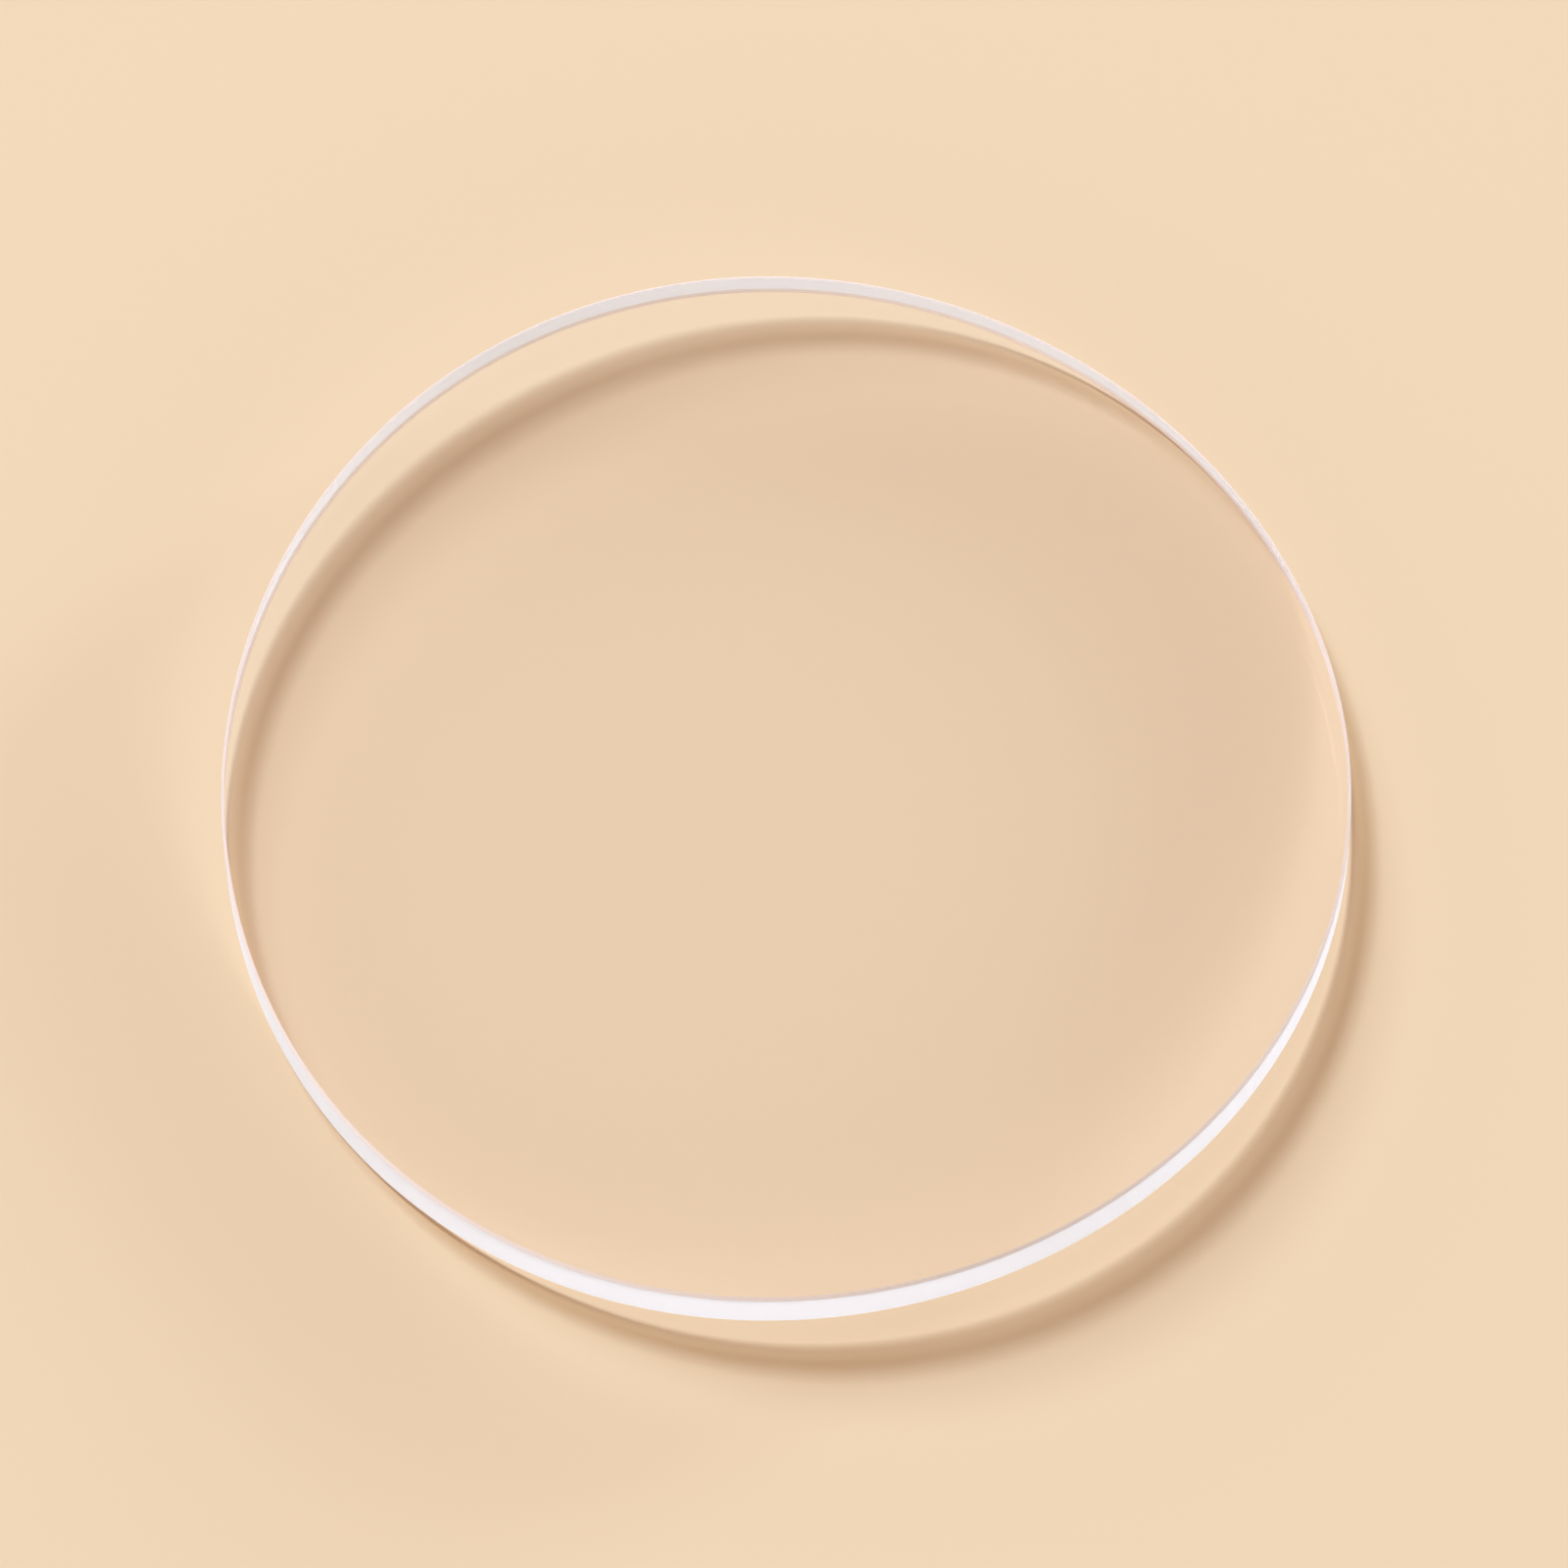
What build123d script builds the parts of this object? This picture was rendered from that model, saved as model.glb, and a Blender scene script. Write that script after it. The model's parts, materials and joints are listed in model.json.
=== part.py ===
from build123d import *
from math import asin, cos, degrees
import os

os.makedirs("parts", exist_ok=True)

# A watch crystal, round in plan and bent about one axis like a strip cut from a glass tube.
# It lies as on a bench, with the domed outer face up.
# Y runs along the bend's straight lines, so the low ends are at plus and minus X.
# They face 12 and 6 o'clock in a watch, where the bend follows the wrist.
# The origin is under the centre, at the height of the two low points that touch the bench.

# Driving dimensions, in mm
diameter = 31.5  # across the ground wall, the size that the case is bored for
thickness = 1.5  # of the glass, the same all over
outer_bend_radius = 100.0  # of the domed outer face
upper_bevel = 0.08  # polished bevel round the outer face
lower_bevel = 0.08  # polished bevel round the inner face
overrun = 1.0  # how far the uncut sheet stands past the finished disc

# The ground circle starts this many degrees from X, away from the low points.
# A start right on a low point would spoil the bevels of a larger disc.
seam_angle = 100.0

rim_radius = diameter / 2
inner_bend_radius = outer_bend_radius - thickness

# The glass is lowest where the lower bevel meets the inner face.
# That sets how far the bend's axis lies below the bench.
lowest_angle = asin(rim_radius / inner_bend_radius) - lower_bevel / inner_bend_radius
bend_axis_depth = inner_bend_radius * cos(lowest_angle)

# The sheet's section spans this angle to each side of straight up.
sheet_half_angle = degrees(asin((rim_radius + overrun) / inner_bend_radius))

with BuildPart() as crystal:
    # The bent sheet, as a band between two concentric arcs drawn along the bend
    with BuildSketch(Plane.XZ) as sheet_section:
        with BuildLine():
            outer_arc = CenterArc(
                (0, -bend_axis_depth), outer_bend_radius, 90 - sheet_half_angle, 2 * sheet_half_angle
            )
            inner_arc = CenterArc(
                (0, -bend_axis_depth), inner_bend_radius, 90 - sheet_half_angle, 2 * sheet_half_angle
            )
            Line(outer_arc @ 0, inner_arc @ 0)
            Line(outer_arc @ 1, inner_arc @ 1)
        make_face()
    extrude(amount=rim_radius + overrun, both=True)

    # The wall is ground straight down, so the disc is round in plan and its rim rises and falls with the bend.
    with BuildSketch(Plane.XY.rotated((0, 0, seam_angle))):
        Circle(rim_radius)
    extrude(amount=outer_bend_radius, both=True, mode=Mode.INTERSECT)

    # The bevels follow the rim at an even width.
    chamfer(crystal.faces().sort_by(Axis.Z)[-1].edges(), length=upper_bevel)
    chamfer(crystal.faces().sort_by(Axis.Z)[0].edges(), length=lower_bevel)

crystal.part.label = "crystal"
export_step(crystal.part, "parts/crystal.step")
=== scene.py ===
import json
import math

import bpy
import numpy as np
from mathutils import Matrix, Vector


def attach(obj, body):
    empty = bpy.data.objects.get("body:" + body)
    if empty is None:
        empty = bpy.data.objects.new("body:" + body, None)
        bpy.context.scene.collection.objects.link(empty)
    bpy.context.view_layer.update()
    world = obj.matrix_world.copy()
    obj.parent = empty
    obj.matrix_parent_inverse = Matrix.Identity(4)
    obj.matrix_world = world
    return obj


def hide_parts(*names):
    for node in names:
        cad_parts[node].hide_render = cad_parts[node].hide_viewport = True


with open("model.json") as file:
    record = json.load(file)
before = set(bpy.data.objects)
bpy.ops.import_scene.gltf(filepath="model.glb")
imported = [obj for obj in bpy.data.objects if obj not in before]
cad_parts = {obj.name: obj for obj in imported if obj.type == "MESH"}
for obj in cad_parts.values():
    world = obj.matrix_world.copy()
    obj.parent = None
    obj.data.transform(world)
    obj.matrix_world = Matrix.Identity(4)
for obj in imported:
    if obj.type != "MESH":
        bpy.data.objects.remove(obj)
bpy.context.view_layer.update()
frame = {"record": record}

bl_info = {
    "name": "Bent Watch Crystal",
    "version": (1, 0, 0),
    "blender": (4, 5, 0),
    "location": "3D View > Sidebar > Crystal",
    "description": "Adds a round glass watch crystal, bent about one axis, with floor, lights and camera",
    "category": "Add Mesh",
}

MM = 0.001  # the frame is in metres, and the sizes below are thought of in millimetres
NODE = "crystal"
BODY = "root"
RIM_MOUNT = next(mount for mount in frame["record"]["mounts"] if mount["name"] == "rim_wall")

# The mesh
FACE, BEVEL, WALL = range(3)  # the finishes, in the order of the piece's material slots
FACE_BANDS = 25  # on each face, from its middle to the rim
BAND_CROWDING = 1.6  # the power that makes the bands narrower towards the rim
CORNER_ROWS = 5  # on each eased corner
BEVEL_ROWS, WALL_ROWS = 3, 8  # on the flats between the eased corners
HOLD_SHARE = 0.25  # of the easing, from an eased corner to the row that keeps the flat beside it flat

# The grain of the ground surfaces
GRIT_DETAIL = 2.0
GRIT_ROUGHNESS = 0.6
GRIT_DEPTH = 0.01 * MM
BEVEL_RELIEF_SHARE = 0.5  # of the wall's relief

# The camera
SENSOR_WIDTH = 36.0  # in millimetres
NEAREST_SEEN = 0.01  # in metres
PICTURE_WIDTH_PIXELS = 1600
SIDE_SHIFT_PIXELS = -2.08  # of the picture from the lens's axis

WHITE = (1.0, 1.0, 1.0, 1.0)


# Shader maths


class Wire:
    """A socket's value, so that an expression such as 1 - mask adds its own Math nodes."""

    def __init__(self, shading, socket):
        self.shading = shading
        self.socket = socket

    def join(self, operation, *values):
        """Adds a Math node that works on the values."""
        return self.shading.node("ShaderNodeMath", {"operation": operation}, dict(enumerate(values)))["Value"]

    def __add__(self, other):
        return self.join("ADD", self, other)

    def __radd__(self, other):
        return self.join("ADD", other, self)

    def __sub__(self, other):
        return self.join("SUBTRACT", self, other)

    def __rsub__(self, other):
        return self.join("SUBTRACT", other, self)

    def __mul__(self, other):
        return self.join("MULTIPLY", self, other)

    def __rmul__(self, other):
        return self.join("MULTIPLY", other, self)

    def __pow__(self, other):
        return self.join("POWER", self, other)

    def __rpow__(self, other):
        return self.join("POWER", other, self)

    def __gt__(self, other):
        return self.join("GREATER_THAN", self, other)

    def __lt__(self, other):
        return self.join("LESS_THAN", self, other)

    def at_most(self, other):
        return self.join("MINIMUM", self, other)

    def at_least(self, other):
        return self.join("MAXIMUM", self, other)


class Shading:
    """The node tree of a material or of the world."""

    def __init__(self, owner):
        owner.use_nodes = True
        self.tree = owner.node_tree
        self.tree.nodes.clear()

    def node(self, kind, settings=None, sockets=None):
        """Adds a node, sets its settings first and then its sockets, and gives its outputs by name."""
        made = self.tree.nodes.new(kind)
        for name, value in (settings or {}).items():
            setattr(made, name, value)
        for name, value in (sockets or {}).items():
            if isinstance(value, Wire):
                self.tree.links.new(value.socket, made.inputs[name])
            else:
                made.inputs[name].default_value = value
        return {socket.name: Wire(self, socket) for socket in made.outputs}

    def mix(self, factor, first, second):
        """The first shader where the factor is 0 and the second where it is 1."""
        return self.node("ShaderNodeMixShader", sockets={0: factor, 1: first, 2: second})["Shader"]

    def out(self, kind, surface):
        """Ends the tree in an output node that shows the surface."""
        self.node(kind, sockets={"Surface": surface})


# The crystal's mesh


def bend_depth(rim, bend, lower_bevel):
    """How far the bend's axis lies below the floor, for the inner face's radius of bend.

    The inner face is lowest at X, where it meets the lower bevel. Seen from the axis that is at an angle of
    asin(rim / bend) - lower_bevel / bend from straight up, and bend times its cosine is the depth."""
    lowest = math.asin(rim / bend) - lower_bevel / bend
    return bend * math.cos(lowest)


def face_height(across, bend, depth):
    """Height of a face that is bent about Y: root(bend^2 - x^2), less the depth of the bend's axis."""
    return np.sqrt(bend**2 - across**2) - depth


def corner_arc(before, corner, after):
    """Rows round a corner that is eased by a parabola.

    With s from 0 to 1, a row is (1 - s)^2 of the point before, 2s(1 - s) of the corner and s^2 of the point
    after."""
    s = np.linspace(0, 1, CORNER_ROWS)[:, None, None]
    return (1 - s) ** 2 * before + 2 * s * (1 - s) * corner + s**2 * after


def towards(start, end, distance):
    """The points at the given distance from start on the straight way to end."""
    way = end - start
    return start + way / np.linalg.norm(way, axis=-1, keepdims=True) * distance


def crystal_section(sizes, heading):
    """Rows of points (radius, height) at every heading, each row's finish, and both faces' middle heights.

    The rows run out along the outer face, down the upper bevel, down the ground wall, in along the lower
    bevel and back along the inner face. The bevels are cut back by the same length along the face and along
    the wall, and all four corners are eased. On the faces, with s from 0 to 1, the rings lie at
    1 - (1 - s)^crowding of the way out."""
    rim = sizes.diameter / 2
    outer = sizes.bend_radius
    inner = outer - sizes.thickness
    depth = bend_depth(rim, inner, sizes.lower_bevel)
    ease = sizes.edge_ease
    hold = ease * HOLD_SHARE

    def on_face(radius, bend):
        """Points at the given radii on a bent face, where x is radius times cos(heading)."""
        return np.stack([radius, face_height(radius * np.cos(heading), bend, depth)], -1)

    def bevel_ends(bend, drop):
        """Where a bevel leaves the face, and where it meets the wall: drop below the face's height there.

        A negative drop puts that point above. The face's slope at the wall is x cos(heading) /
        root(bend^2 - x^2), so the bevel's length along the face takes length / root(1 + slope^2) off the
        radius."""
        across = rim * np.cos(heading)
        slope = across * np.cos(heading) / np.sqrt(bend**2 - across**2)
        radius = rim - abs(drop) / np.sqrt(1 + slope**2)
        on_wall = np.stack([np.full_like(across, rim), face_height(across, bend, depth) - drop], -1)
        return on_face(radius, bend), on_wall

    def eased(before, corner, after):
        """Rows round the corner, from the easing's length before it to the easing's length after it."""
        return corner_arc(towards(corner, before, ease), corner, towards(corner, after, ease))

    def flat(start, end, rows):
        """Even rows on the flat between two eased corners, the first and last of them close to the easing."""
        first = towards(start, end, ease)
        last = towards(end, start, ease)
        near = towards(first, last, hold)
        far = towards(last, first, hold)
        s = np.linspace(0, 1, rows)[:, None, None]
        return near + s * (far - near)

    top_face, top_wall = bevel_ends(outer, sizes.upper_bevel)
    low_face, low_wall = bevel_ends(inner, -sizes.lower_bevel)
    top_inside = on_face(top_face[:, 0] - ease, outer)
    low_inside = on_face(low_face[:, 0] - ease, inner)
    ring_shares = 1 - (1 - np.linspace(0, 1, FACE_BANDS + 1)[1:-1]) ** BAND_CROWDING
    blocks = [
        (FACE, on_face(ring_shares[:, None] * top_inside[:, 0], outer)),
        (FACE, towards(top_inside, top_face, -hold)[None]),
        (BEVEL, corner_arc(top_inside, top_face, towards(top_face, top_wall, ease))),
        (BEVEL, flat(top_face, top_wall, BEVEL_ROWS)),
        (WALL, eased(top_face, top_wall, low_wall)),
        (WALL, flat(top_wall, low_wall, WALL_ROWS)),
        (WALL, eased(top_wall, low_wall, low_face)),
        (BEVEL, flat(low_wall, low_face, BEVEL_ROWS)),
        (BEVEL, corner_arc(towards(low_face, low_wall, ease), low_face, low_inside)),
        (FACE, towards(low_inside, low_face, -hold)[None]),
        (FACE, on_face(ring_shares[::-1, None] * low_inside[:, 0], inner)),
    ]
    section = np.concatenate([rows for kind, rows in blocks])
    finishes = np.concatenate([np.full(len(rows), kind) for kind, rows in blocks])
    return section, finishes, (outer - depth, inner - depth)


def crystal_arrays(sizes):
    """The closed surface as points, quads, triangles and the finish of each face.

    The section is carried round the disc, so a point is (radius cos(heading), radius sin(heading), height). A
    fan of triangles about its middle closes each face."""
    heading = np.arange(sizes.headings) * (2 * math.pi / sizes.headings)
    section, row_finishes, middle_heights = crystal_section(sizes, heading)
    rows, turns = section.shape[:2]
    radius = section[..., 0]
    height = section[..., 1]
    around = np.stack([radius * np.cos(heading), radius * np.sin(heading), height], -1).reshape(-1, 3)
    points = np.concatenate([around, [(0, 0, middle) for middle in middle_heights]])

    index = np.arange(rows * turns).reshape(rows, turns)
    ahead = np.roll(index, -1, axis=1)
    quads = np.stack([index[:-1], index[1:], ahead[1:], ahead[:-1]], -1).reshape(-1, 4)
    top_middle = np.full(turns, len(points) - 2)
    low_middle = np.full(turns, len(points) - 1)
    top_fan = np.stack([top_middle, index[0], ahead[0]], -1)
    low_fan = np.stack([low_middle, ahead[-1], index[-1]], -1)

    # a band between two finishes takes the rougher one
    quad_finishes = np.repeat(np.maximum(row_finishes[:-1], row_finishes[1:]), turns)
    fan_finishes = np.full(2 * turns, FACE)
    return points, quads, np.concatenate([top_fan, low_fan]), np.concatenate([quad_finishes, fan_finishes])


def add_object(name, data):
    """A new object for the data, linked to the scene."""
    made = bpy.data.objects.new(name, data)
    bpy.context.scene.collection.objects.link(made)
    return made


def mesh_piece(name, points, faces, finishes, materials):
    """A smooth mesh object from arrays, with its materials and the finish of each face."""
    mesh = bpy.data.meshes.new(name)
    mesh.from_pydata(points.tolist(), [], [face for block in faces for face in block.tolist()])
    for material in materials:
        mesh.materials.append(material)
    mesh.polygons.foreach_set("use_smooth", np.ones(len(mesh.polygons), bool))
    mesh.polygons.foreach_set("material_index", finishes.astype(np.int32))
    mesh.update()
    return add_object(name, mesh)


# The crystal's materials


def ground_grain(shading, looks, relief):
    """The grain that grinding leaves: fine noise that bumps the surface."""
    place = shading.node("ShaderNodeTexCoord")["Object"]
    noise = {"Vector": place, "Scale": looks.grit_scale, "Detail": GRIT_DETAIL, "Roughness": GRIT_ROUGHNESS}
    grit = shading.node("ShaderNodeTexNoise", sockets=noise)["Fac"]
    bump = {"Height": grit, "Strength": relief, "Distance": GRIT_DEPTH}
    return shading.node("ShaderNodeBump", sockets=bump)["Normal"]


def filmed_glass(shading, looks, colour, roughness, grain):
    """Glass under its thin anti-reflection film."""
    glass = {
        "Base Color": (*colour, 1.0),
        "Roughness": roughness,
        "IOR": looks.index,
        "Transmission Weight": 1.0,
        "Thin Film Thickness": looks.film_thickness,
        "Thin Film IOR": looks.film_index,
    }
    return shading.node("ShaderNodeBsdfPrincipled", sockets={**glass, **grain})["BSDF"]


def with_skin(shading, surface, looks, skin, skin_within, skin_colour, grain):
    """The surface with a pale skin over part of it, which scatters light to both sides.

    The skin takes the share skin of what shows from outside the glass. From inside it takes the share
    skin_within, because a slanting look meets the surface too flatly there to see much of the skin."""
    scatter = {"Color": (*skin_colour, 1.0), **grain}
    front = shading.node("ShaderNodeBsdfDiffuse", sockets=scatter)["BSDF"]
    back = shading.node("ShaderNodeBsdfTranslucent", sockets=scatter)["BSDF"]
    within = shading.node("ShaderNodeNewGeometry")["Backfacing"]
    share = within * skin_within + (1 - within) * skin
    return shading.mix(share, surface, shading.mix(looks.skin_through, front, back))


def with_light_through(shading, surface, lamp_colour, skim_colour, soft_light):
    """The surface, but with a straight way through it for the light that reaches the floor.

    The lamps' light takes it, dimmed by lamp_colour, and so does the share soft_light of what the floor takes
    in from all round. Light that skims along the surface is dimmed by skim_colour instead, the more so the
    flatter it strikes, as the square of the Layer Weight node's Facing."""
    rays = shading.node("ShaderNodeLightPath")
    straight = rays["Is Shadow Ray"].at_least(rays["Is Diffuse Ray"] * soft_light)
    through = shading.node("ShaderNodeBsdfTransparent", sockets={"Color": (*lamp_colour, 1.0)})["BSDF"]
    if skim_colour is not None:
        skimmed = shading.node("ShaderNodeBsdfTransparent", sockets={"Color": (*skim_colour, 1.0)})["BSDF"]
        skimming = shading.node("ShaderNodeLayerWeight")["Facing"] ** 2
        through = shading.mix(skimming, through, skimmed)
    return shading.mix(straight, surface, through)


def glass_material(
    name,
    looks,
    colour,
    lamp_colour,
    skim_colour=None,
    soft_light=1.0,
    roughness=0.0,
    relief=0.0,
    skin=0.0,
    skin_within=0.0,
    skin_colour=None,
):
    """Glass with one finish: polished, or ground with a grain of the given relief and a pale skin."""
    material = bpy.data.materials.new(name)
    shading = Shading(material)
    grain = {"Normal": ground_grain(shading, looks, relief)} if relief > 0 else {}
    surface = filmed_glass(shading, looks, colour, roughness, grain)
    if skin > 0:
        surface = with_skin(shading, surface, looks, skin, skin_within, skin_colour, grain)
    surface = with_light_through(shading, surface, lamp_colour, skim_colour, soft_light)
    shading.out("ShaderNodeOutputMaterial", surface)
    return material


def crystal_materials(looks):
    """The materials of the faces, the bevels and the wall, in that order."""
    polished = glass_material(
        "polished glass",
        looks,
        colour=looks.face_colour,
        lamp_colour=looks.face_lamp,
    )
    bevelled = glass_material(
        "bevelled glass",
        looks,
        colour=looks.bevel_colour,
        lamp_colour=looks.bevel_lamp,
        skim_colour=looks.bevel_skim,
        soft_light=looks.edge_soft,
        roughness=looks.bevel_roughness,
        relief=looks.relief * BEVEL_RELIEF_SHARE,
        skin=looks.bevel_skin,
        skin_within=looks.bevel_skin,
        skin_colour=looks.bevel_skin_colour,
    )
    ground = glass_material(
        "ground glass",
        looks,
        colour=looks.wall_colour,
        lamp_colour=looks.wall_lamp,
        skim_colour=looks.wall_skim,
        soft_light=looks.edge_soft,
        roughness=looks.wall_roughness,
        relief=looks.relief,
        skin=looks.wall_skin,
        skin_within=looks.wall_skin_within,
        skin_colour=looks.wall_skin_colour,
    )
    return polished, bevelled, ground


# The stage


def floor_square(stage):
    """The level floor at height 0, matt and pale, with no sheen even where it is seen flatly."""
    half = stage.floor_half_width
    corners = [(-half, -half, 0), (half, -half, 0), (half, half, 0), (-half, half, 0)]
    mesh = bpy.data.meshes.new("floor")
    mesh.from_pydata(corners, [], [(0, 1, 2, 3)])
    material = bpy.data.materials.new("pale floor")
    shading = Shading(material)
    matt = shading.node("ShaderNodeBsdfDiffuse", sockets={"Color": (*stage.floor_colour, 1.0)})["BSDF"]
    shading.out("ShaderNodeOutputMaterial", matt)
    mesh.materials.append(material)
    return add_object("floor", mesh)


def soft_world(stage):
    """Soft light from all round, which the camera sees as plain white, also in the glass and through it.

    A strength of s from the horizon up to an elevation e gives the floor s sin(e)^2 of its full brightness.
    The light overhead has the strength that brings the floor's share up to sky_share."""
    world = bpy.data.worlds.new("soft light")
    shading = Shading(world)
    rays = shading.node("ShaderNodeLightPath")
    seen = (rays["Is Camera Ray"] + rays["Is Glossy Ray"] + rays["Is Transmission Ray"]).at_most(1.0)
    way = shading.node("ShaderNodeTexCoord")["Generated"]
    rise = shading.node("ShaderNodeSeparateXYZ", sockets={"Vector": way})["Z"]
    low_share = math.sin(stage.horizon_top) ** 2
    overhead = max(stage.sky_share - stage.horizon_light * low_share, 0.0) / (1 - low_share)
    is_high = rise > math.sin(stage.horizon_top)
    strength = is_high * overhead + (1 - is_high) * stage.horizon_light
    light = shading.node("ShaderNodeBackground", sockets={"Color": WHITE, "Strength": strength})["Background"]
    pale = shading.node("ShaderNodeBackground", sockets={"Color": WHITE, "Strength": 1.0})["Background"]
    shading.out("ShaderNodeOutputWorld", shading.mix(seen, light, pale))
    return world


def heading_vector(azimuth, elevation):
    """The unit vector at an azimuth from X towards Y, and an elevation above the floor."""
    level = math.cos(elevation)
    return Vector((level * math.cos(azimuth), level * math.sin(azimuth), math.sin(elevation)))


def place_looking(thing, position, target, roll=0.0):
    """Puts an object at a position with its own -Z towards a target, turned by roll about that line."""
    facing = (target - position).to_track_quat("-Z", "Y").to_matrix().to_4x4()
    thing.matrix_world = Matrix.Translation(position) @ facing @ Matrix.Rotation(roll, 4, "Z")


def disc_lamp(name, azimuth, elevation, distance, size, share, target):
    """A round lamp that gives a white floor this share of its full brightness.

    A lamp of power P gives the floor P sin(elevation) / (pi^2 (distance^2 + radius^2)) of brightness."""
    lamp_data = bpy.data.lights.new(name, "AREA")
    lamp_data.shape = "DISK"
    lamp_data.size = size
    reach = distance**2 + (size / 2) ** 2
    lamp_data.energy = share * math.pi**2 * reach / math.sin(elevation)
    lamp = add_object(name, lamp_data)
    place_looking(lamp, target + heading_vector(azimuth, elevation) * distance, target)


def add_lamps(stage, target):
    """The high and the low lamp behind the crystal, and a weak one low at its side."""
    main_share = 1 - stage.sky_share - stage.side_share
    high_share = main_share * (1 - stage.low_share)
    low_share = main_share * stage.low_share
    for name, azimuth, elevation, size, share in (
        ("high lamp", stage.lamp_azimuth, stage.high_elevation, stage.high_size, high_share),
        ("low lamp", stage.lamp_azimuth, stage.low_elevation, stage.low_size, low_share),
        ("side lamp", stage.side_azimuth, stage.side_elevation, stage.side_size, stage.side_share),
    ):
        disc_lamp(name, azimuth, elevation, stage.lamp_distance, size, share, target)


def add_camera(stage, target):
    """A camera with a long lens at the photograph's viewing angle."""
    camera_data = bpy.data.cameras.new("camera")
    camera_data.lens = stage.lens
    camera_data.sensor_width = SENSOR_WIDTH
    camera_data.sensor_fit = "HORIZONTAL"
    camera_data.shift_x = SIDE_SHIFT_PIXELS / PICTURE_WIDTH_PIXELS
    camera_data.clip_start = NEAREST_SEEN
    camera = add_object("camera", camera_data)
    way = heading_vector(stage.camera_azimuth, stage.camera_elevation)
    place_looking(camera, target + way * stage.camera_distance, target, stage.camera_roll)
    return camera


# Settings that a user would change


class CrystalSizes(bpy.types.PropertyGroup):
    """Sizes of the crystal, in metres."""

    diameter: bpy.props.FloatProperty(
        name="Diameter",
        description="Across the ground wall",
        default=RIM_MOUNT["dims"]["r_mm"] * 2 * MM,
        unit="LENGTH",
    )
    thickness: bpy.props.FloatProperty(
        name="Thickness", description="Of the glass", default=1.5 * MM, unit="LENGTH"
    )
    bend_radius: bpy.props.FloatProperty(
        name="Bend Radius", description="Of the domed outer face", default=100 * MM, unit="LENGTH"
    )
    upper_bevel: bpy.props.FloatProperty(
        name="Upper Bevel",
        description="How far the outer face and the wall are cut back",
        default=0.08 * MM,
        unit="LENGTH",
    )
    lower_bevel: bpy.props.FloatProperty(
        name="Lower Bevel",
        description="How far the inner face and the wall are cut back",
        default=0.08 * MM,
        unit="LENGTH",
    )
    edge_ease: bpy.props.FloatProperty(
        name="Edge Easing",
        description="How far the rounding of each corner reaches from it",
        default=0.015 * MM,
        unit="LENGTH",
    )
    headings: bpy.props.IntProperty(
        name="Headings", description="Sections of the mesh round the disc", default=1080, min=24
    )


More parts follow.
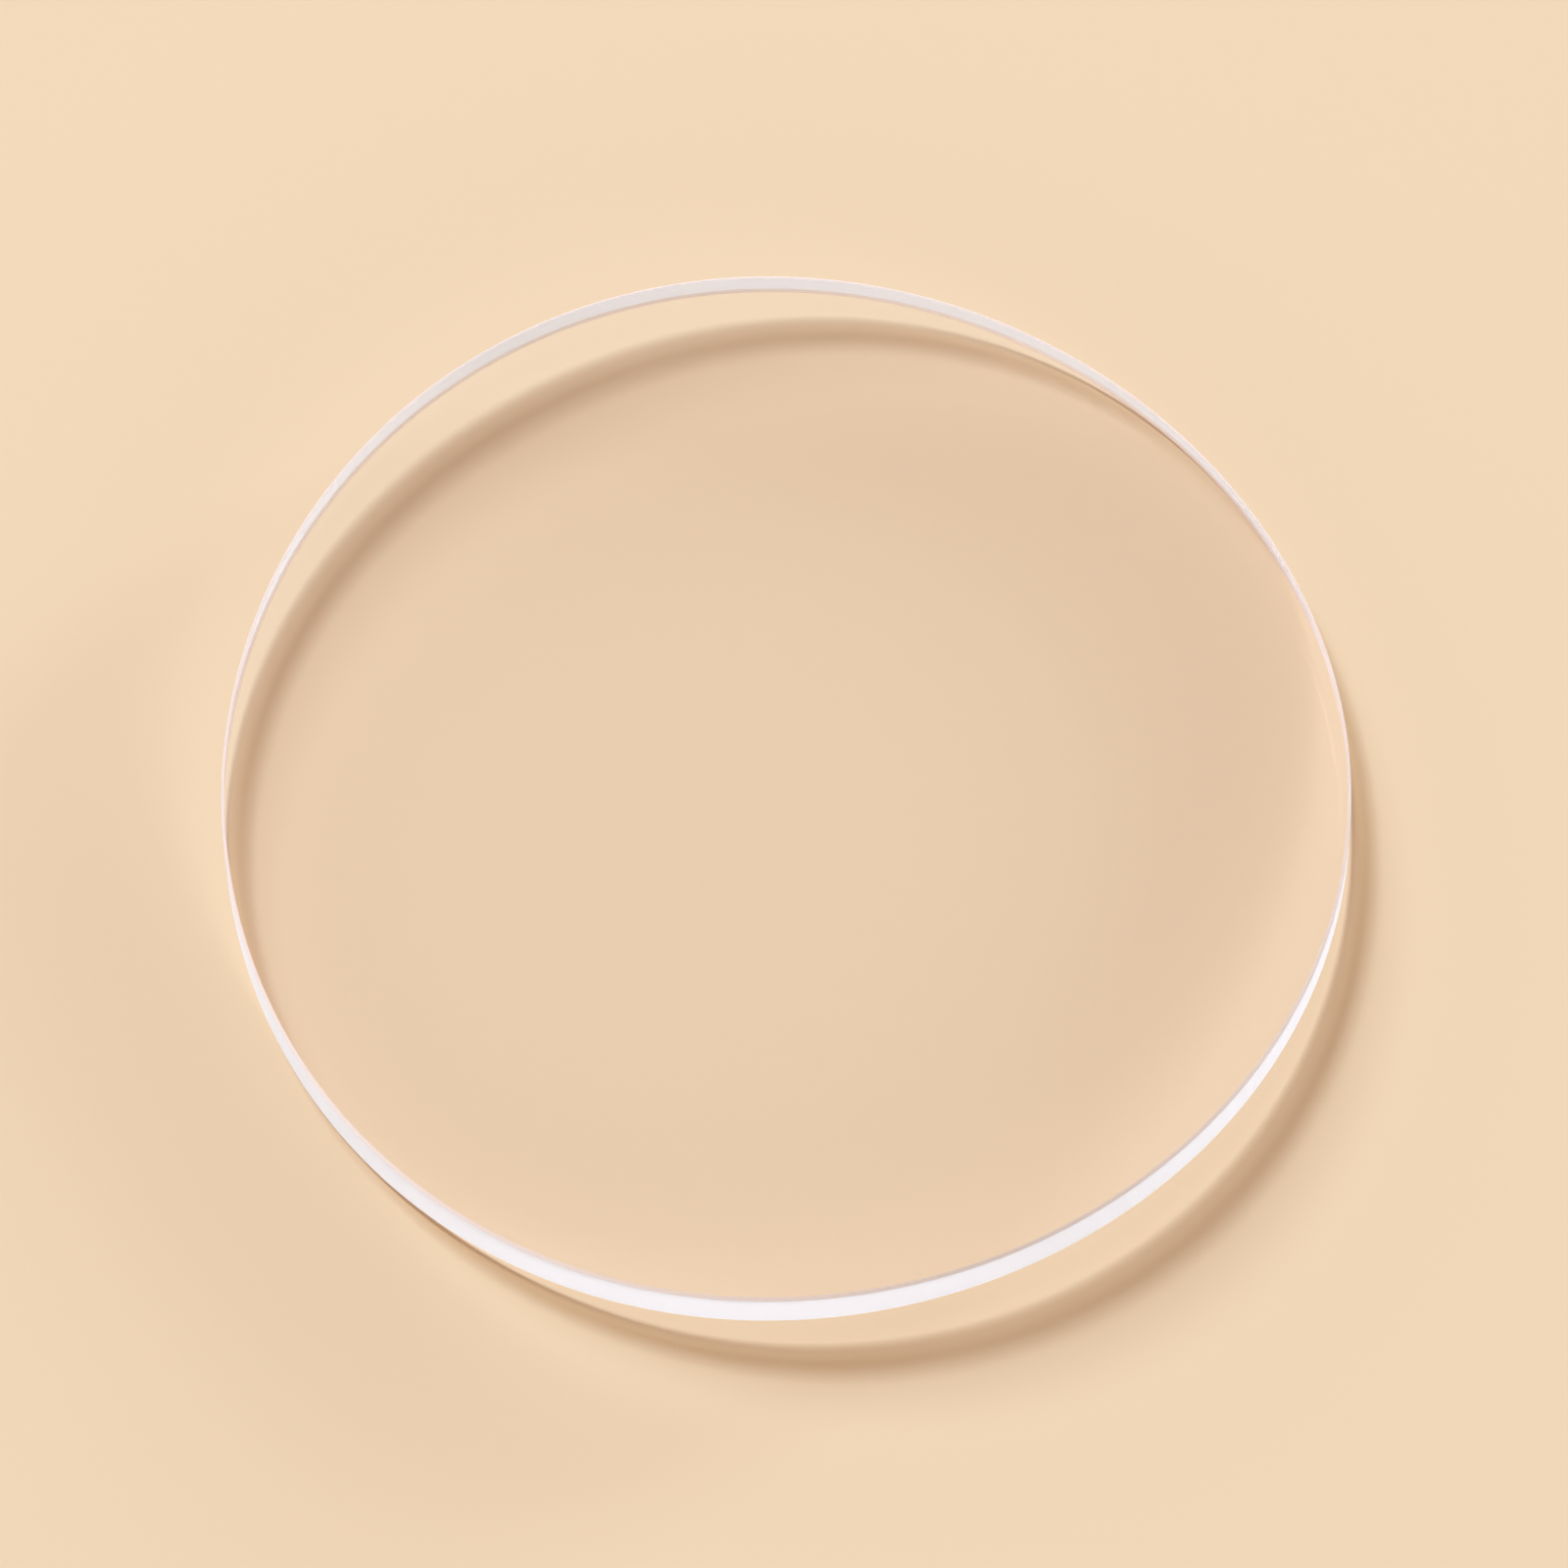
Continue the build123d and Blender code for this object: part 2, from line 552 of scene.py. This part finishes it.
class CrystalLooks(bpy.types.PropertyGroup):
    """Finish of the glass."""

    index: bpy.props.FloatProperty(name="Index", description="Refractive index of the glass", default=1.52)
    film_thickness: bpy.props.FloatProperty(
        name="Film Thickness",
        description="Of the anti-reflection film, in nanometres",
        default=105.0,
        unit="WAVELENGTH",
    )
    film_index: bpy.props.FloatProperty(
        name="Film Index", description="Refractive index of the anti-reflection film", default=1.38
    )
    face_colour: bpy.props.FloatVectorProperty(
        name="Faces", description="Tint of the polished glass", default=(0.985, 0.98, 0.985), subtype="COLOR"
    )
    face_lamp: bpy.props.FloatVectorProperty(
        name="Lamp through Faces",
        description="Colour of the lamp light that one face lets through",
        default=(0.97, 0.95, 0.935),
        subtype="COLOR",
    )
    bevel_colour: bpy.props.FloatVectorProperty(
        name="Bevels", description="Tint of the bevels", default=(0.97, 0.955, 0.97), subtype="COLOR"
    )
    bevel_lamp: bpy.props.FloatVectorProperty(
        name="Lamp through Bevels",
        description="Colour of the lamp light that a bevel lets through",
        default=(0.25, 0.09, 0.0),
        subtype="COLOR",
    )
    bevel_skim: bpy.props.FloatVectorProperty(
        name="Light along Bevels",
        description="Colour of the light that skims along a bevel and goes on",
        default=(0.6, 0.5, 0.35),
        subtype="COLOR",
    )
    bevel_roughness: bpy.props.FloatProperty(
        name="Bevel Roughness", description="Roughness of the bevels", default=0.15, subtype="FACTOR"
    )
    bevel_skin: bpy.props.FloatProperty(
        name="Bevel Skin",
        description="How much of a bevel scatters light as a pale skin",
        default=0.8,
        subtype="FACTOR",
    )
    bevel_skin_colour: bpy.props.FloatVectorProperty(
        name="Bevel Skin Colour",
        description="Colour of the bevels' scattering skin",
        default=(1.0, 0.93, 1.0),
        subtype="COLOR",
    )
    wall_colour: bpy.props.FloatVectorProperty(
        name="Wall", description="Colour of the ground wall", default=(0.84, 0.865, 0.91), subtype="COLOR"
    )
    wall_lamp: bpy.props.FloatVectorProperty(
        name="Lamp through Wall",
        description="Colour of the lamp light that the ground wall lets through",
        default=(0.25, 0.09, 0.0),
        subtype="COLOR",
    )
    wall_skim: bpy.props.FloatVectorProperty(
        name="Light along Wall",
        description="Colour of the light that skims along the ground wall and goes on",
        default=(1.0, 0.9, 0.75),
        subtype="COLOR",
    )
    wall_roughness: bpy.props.FloatProperty(
        name="Wall Roughness", description="Roughness of the ground wall", default=0.75, subtype="FACTOR"
    )
    wall_skin: bpy.props.FloatProperty(
        name="Wall Skin",
        description="How much of the ground wall scatters light as a pale skin",
        default=0.85,
        subtype="FACTOR",
    )
    wall_skin_within: bpy.props.FloatProperty(
        name="Wall Skin from Within",
        description="How much of the ground wall scatters light where it is seen from inside the glass",
        default=0.4,
        subtype="FACTOR",
    )
    wall_skin_colour: bpy.props.FloatVectorProperty(
        name="Wall Skin Colour",
        description="Colour of the wall's scattering skin",
        default=(0.79, 0.85, 1.0),
        subtype="COLOR",
    )
    skin_through: bpy.props.FloatProperty(
        name="Skin Through",
        description="How much of the skins' light comes from the far side",
        default=0.5,
        subtype="FACTOR",
    )
    edge_soft: bpy.props.FloatProperty(
        name="Soft Light through Edge",
        description="Share of the floor's soft light that meets the bevels and the wall as a plain veil",
        default=0.8,
        subtype="FACTOR",
    )
    grit_scale: bpy.props.FloatProperty(
        name="Grit Scale", description="Grains of the grinding to a metre", default=16000.0
    )
    relief: bpy.props.FloatProperty(
        name="Grit Relief", description="Strength of the wall's grain", default=0.1, subtype="FACTOR"
    )


class StageSettings(bpy.types.PropertyGroup):
    """Floor, lights and camera."""

    floor_colour: bpy.props.FloatVectorProperty(
        name="Floor", description="Colour of the floor", default=(0.89, 0.695, 0.49), subtype="COLOR"
    )
    floor_half_width: bpy.props.FloatProperty(
        name="Floor Half Width",
        description="From the middle of the floor to its sides",
        default=2.0,
        unit="LENGTH",
    )
    sky_share: bpy.props.FloatProperty(
        name="Soft Light",
        description="Share of the floor's light that comes from all round",
        default=0.15,
        subtype="FACTOR",
    )
    horizon_light: bpy.props.FloatProperty(
        name="Horizon Light", description="Strength of the soft light that comes from low down", default=0.85
    )
    horizon_top: bpy.props.FloatProperty(
        name="Horizon Top",
        description="Elevation up to which the horizon light reaches",
        default=math.radians(22),
        subtype="ANGLE",
    )
    lamp_azimuth: bpy.props.FloatProperty(
        name="Lamp Azimuth",
        description="Direction to the high and the low lamp, from X towards Y",
        default=math.radians(95.6),
        subtype="ANGLE",
    )
    lamp_distance: bpy.props.FloatProperty(
        name="Lamp Distance", description="From the crystal to each lamp", default=3.0, unit="LENGTH"
    )
    high_elevation: bpy.props.FloatProperty(
        name="High Lamp Elevation",
        description="Height of the high lamp above the floor",
        default=math.radians(58),
        subtype="ANGLE",
    )
    high_size: bpy.props.FloatProperty(
        name="High Lamp Size", description="Diameter of the high lamp's disc", default=0.7, unit="LENGTH"
    )
    low_elevation: bpy.props.FloatProperty(
        name="Low Lamp Elevation",
        description="Height of the low lamp above the floor",
        default=math.radians(43),
        subtype="ANGLE",
    )
    low_size: bpy.props.FloatProperty(
        name="Low Lamp Size", description="Diameter of the low lamp's disc", default=1.1, unit="LENGTH"
    )
    low_share: bpy.props.FloatProperty(
        name="Low Lamp Share",
        description="How much of the main light comes from the low lamp, and the rest from the high one",
        default=0.3,
        subtype="FACTOR",
    )
    side_azimuth: bpy.props.FloatProperty(
        name="Side Lamp Azimuth",
        description="Direction to the side lamp, from X towards Y",
        default=0.0,
        subtype="ANGLE",
    )
    side_elevation: bpy.props.FloatProperty(
        name="Side Lamp Elevation",
        description="Height of the side lamp above the floor",
        default=math.radians(9),
        subtype="ANGLE",
    )
    side_size: bpy.props.FloatProperty(
        name="Side Lamp Size", description="Diameter of the side lamp's disc", default=0.75, unit="LENGTH"
    )
    side_share: bpy.props.FloatProperty(
        name="Side Lamp Share",
        description="Share of the floor's light that comes from the side lamp",
        default=0.09,
        subtype="FACTOR",
    )
    camera_azimuth: bpy.props.FloatProperty(
        name="Camera Azimuth",
        description="Direction to the camera, from X towards Y",
        default=math.radians(239.62),
        subtype="ANGLE",
    )
    camera_elevation: bpy.props.FloatProperty(
        name="Camera Elevation",
        description="Height of the camera above the floor",
        default=math.radians(64.88),
        subtype="ANGLE",
    )
    camera_roll: bpy.props.FloatProperty(
        name="Camera Roll",
        description="Turn of the camera about its line of sight",
        default=math.radians(-1.062),
        subtype="ANGLE",
    )
    camera_distance: bpy.props.FloatProperty(
        name="Camera Distance", description="From the point it aims at", default=0.32765, unit="LENGTH"
    )
    aim_height: bpy.props.FloatProperty(
        name="Aim Height",
        description="Height over the floor's centre that the camera and the lamps aim at",
        default=1.9815 * MM,
        unit="LENGTH",
    )
    lens: bpy.props.FloatProperty(
        name="Lens",
        description="Focal length on a 36 mm sensor, in millimetres",
        default=270.0,
        unit="CAMERA",
    )
    bounces: bpy.props.IntProperty(
        name="Bounces", description="Most turns of a ray on its way through the glass", default=48
    )


# Operators and their panel


class CRYSTAL_OT_add_crystal(bpy.types.Operator):
    """Add the bent glass disc with its ground wall and bevels"""

    bl_idname = "crystal.add_crystal"
    bl_label = "Add Crystal"

    def execute(self, context):
        points, quads, fans, finishes = crystal_arrays(context.scene.crystal_sizes)
        materials = crystal_materials(context.scene.crystal_looks)
        piece = mesh_piece("crystal_glass", points, (quads, fans), finishes, materials)
        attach(piece, BODY)
        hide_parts(NODE)
        return {"FINISHED"}


class CRYSTAL_OT_add_stage(bpy.types.Operator):
    """Add the floor, the soft light, the lamps and the camera"""

    bl_idname = "crystal.add_stage"
    bl_label = "Add Stage"

    def execute(self, context):
        scene = context.scene
        stage = scene.crystal_stage
        floor = floor_square(stage)
        scene.world = soft_world(stage)
        target = Vector((0, 0, stage.aim_height))
        add_lamps(stage, target)
        scene.camera = add_camera(stage, target)
        scene.view_settings.view_transform = "Standard"
        # light is guided round inside the glass by many inner reflections before it leaves at the rim
        scene.cycles.max_bounces = stage.bounces
        scene.cycles.glossy_bounces = stage.bounces
        scene.cycles.transmission_bounces = stage.bounces
        return {"FINISHED"}


class CRYSTAL_PT_panel(bpy.types.Panel):
    """Shows the crystal's sizes and finishes, the stage's settings, and the buttons that add the crystal and
    the stage
    """

    bl_idname = "CRYSTAL_PT_panel"
    bl_label = "Watch Crystal"
    bl_space_type = "VIEW_3D"
    bl_region_type = "UI"
    bl_category = "Crystal"

    def draw(self, context):
        for group in GROUPS:
            box = self.layout.box()
            settings = getattr(context.scene, group)
            for name in settings.__annotations__:
                box.prop(settings, name)
        for operator in OPERATORS:
            self.layout.operator(operator.bl_idname)


GROUPS = {"crystal_sizes": CrystalSizes, "crystal_looks": CrystalLooks, "crystal_stage": StageSettings}
OPERATORS = (CRYSTAL_OT_add_crystal, CRYSTAL_OT_add_stage)


def register():
    for kind in (*GROUPS.values(), *OPERATORS, CRYSTAL_PT_panel):
        bpy.utils.register_class(kind)
    for name, kind in GROUPS.items():
        setattr(bpy.types.Scene, name, bpy.props.PointerProperty(type=kind))


def unregister():
    for name in GROUPS:
        delattr(bpy.types.Scene, name)
    for kind in reversed((*GROUPS.values(), *OPERATORS, CRYSTAL_PT_panel)):
        bpy.utils.unregister_class(kind)


def main():
    register()
    bpy.ops.crystal.add_crystal()
    bpy.ops.crystal.add_stage()


if __name__ == "__main__":
    main()
